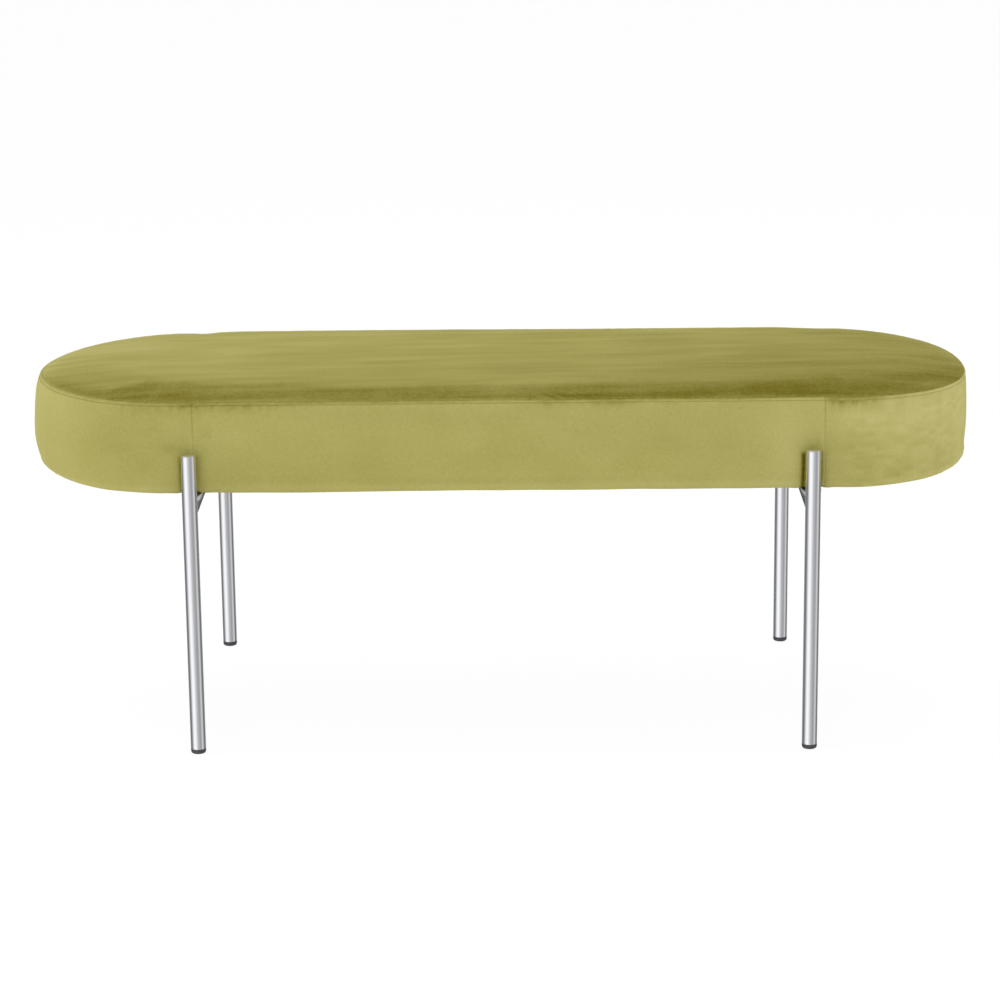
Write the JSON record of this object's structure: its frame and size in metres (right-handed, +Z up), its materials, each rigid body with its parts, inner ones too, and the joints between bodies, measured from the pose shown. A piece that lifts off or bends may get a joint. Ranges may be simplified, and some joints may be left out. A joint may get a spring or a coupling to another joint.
{
  "type": "upholstered bench",
  "caption": "Long backless bench with a velvet cushion seat with round ends, on slim round steel legs that rise against the outside of the seat.",
  "frame": {"origin": "on the floor under the middle of the bench", "axes": "+X along the seat to the viewer's right, +Y towards the back, +Z up"},
  "size_m": [1.1998, 0.475, 0.458],
  "materials": {
    "velvet": "short olive green velvet pile",
    "steel": "satin chromed steel tube",
    "glide": "matt dark grey moulded plastic",
    "zinc": "zinc plated",
    "plywood": "raw birch plywood",
    "pine": "planed softwood",
    "foam": "open cell seat foam",
    "wadding": "white polyester wadding",
    "dust_cloth": "black non-woven cloth"
  },
  "bodies": {
    "root": {"top_panel": "velvet", "front_band": "velvet", "back_band": "velvet", "left_end_band": "velvet", "right_end_band": "velvet", "dust_cover": "dust_cloth", "foam_pad": "foam", "side_wadding": "wadding", "base_board": "plywood", "deck_board": "plywood", "left_end_bend": "plywood", "right_end_bend": "plywood", "front_rail": "pine", "back_rail": "pine", "cross_rib_1": "pine", "cross_rib_2": "pine", "cross_rib_3": "pine", "cross_rib_4": "pine", "cross_rib_5": "pine", "front_left_leg": "steel", "front_right_leg": "steel", "back_left_leg": "steel", "back_right_leg": "steel", "front_left_cap": "steel", "front_right_cap": "steel", "back_left_cap": "steel", "back_right_cap": "steel", "front_left_glide": "glide", "front_right_glide": "glide", "back_left_glide": "glide", "back_right_glide": "glide", "left_cross_tube": "steel", "right_cross_tube": "steel", "front_left_plate": "steel", "front_right_plate": "steel", "back_left_plate": "steel", "back_right_plate": "steel", "front_left_outer_bolt": "zinc", "front_left_inner_bolt": "zinc", "front_right_outer_bolt": "zinc", "front_right_inner_bolt": "zinc", "back_left_outer_bolt": "zinc", "back_left_inner_bolt": "zinc", "back_right_outer_bolt": "zinc", "back_right_inner_bolt": "zinc", "front_left_outer_nut": "zinc", "front_left_inner_nut": "zinc", "front_right_outer_nut": "zinc", "front_right_inner_nut": "zinc", "back_left_outer_nut": "zinc", "back_left_inner_nut": "zinc", "back_right_outer_nut": "zinc", "back_right_inner_nut": "zinc"}
  },
  "joints": []
}
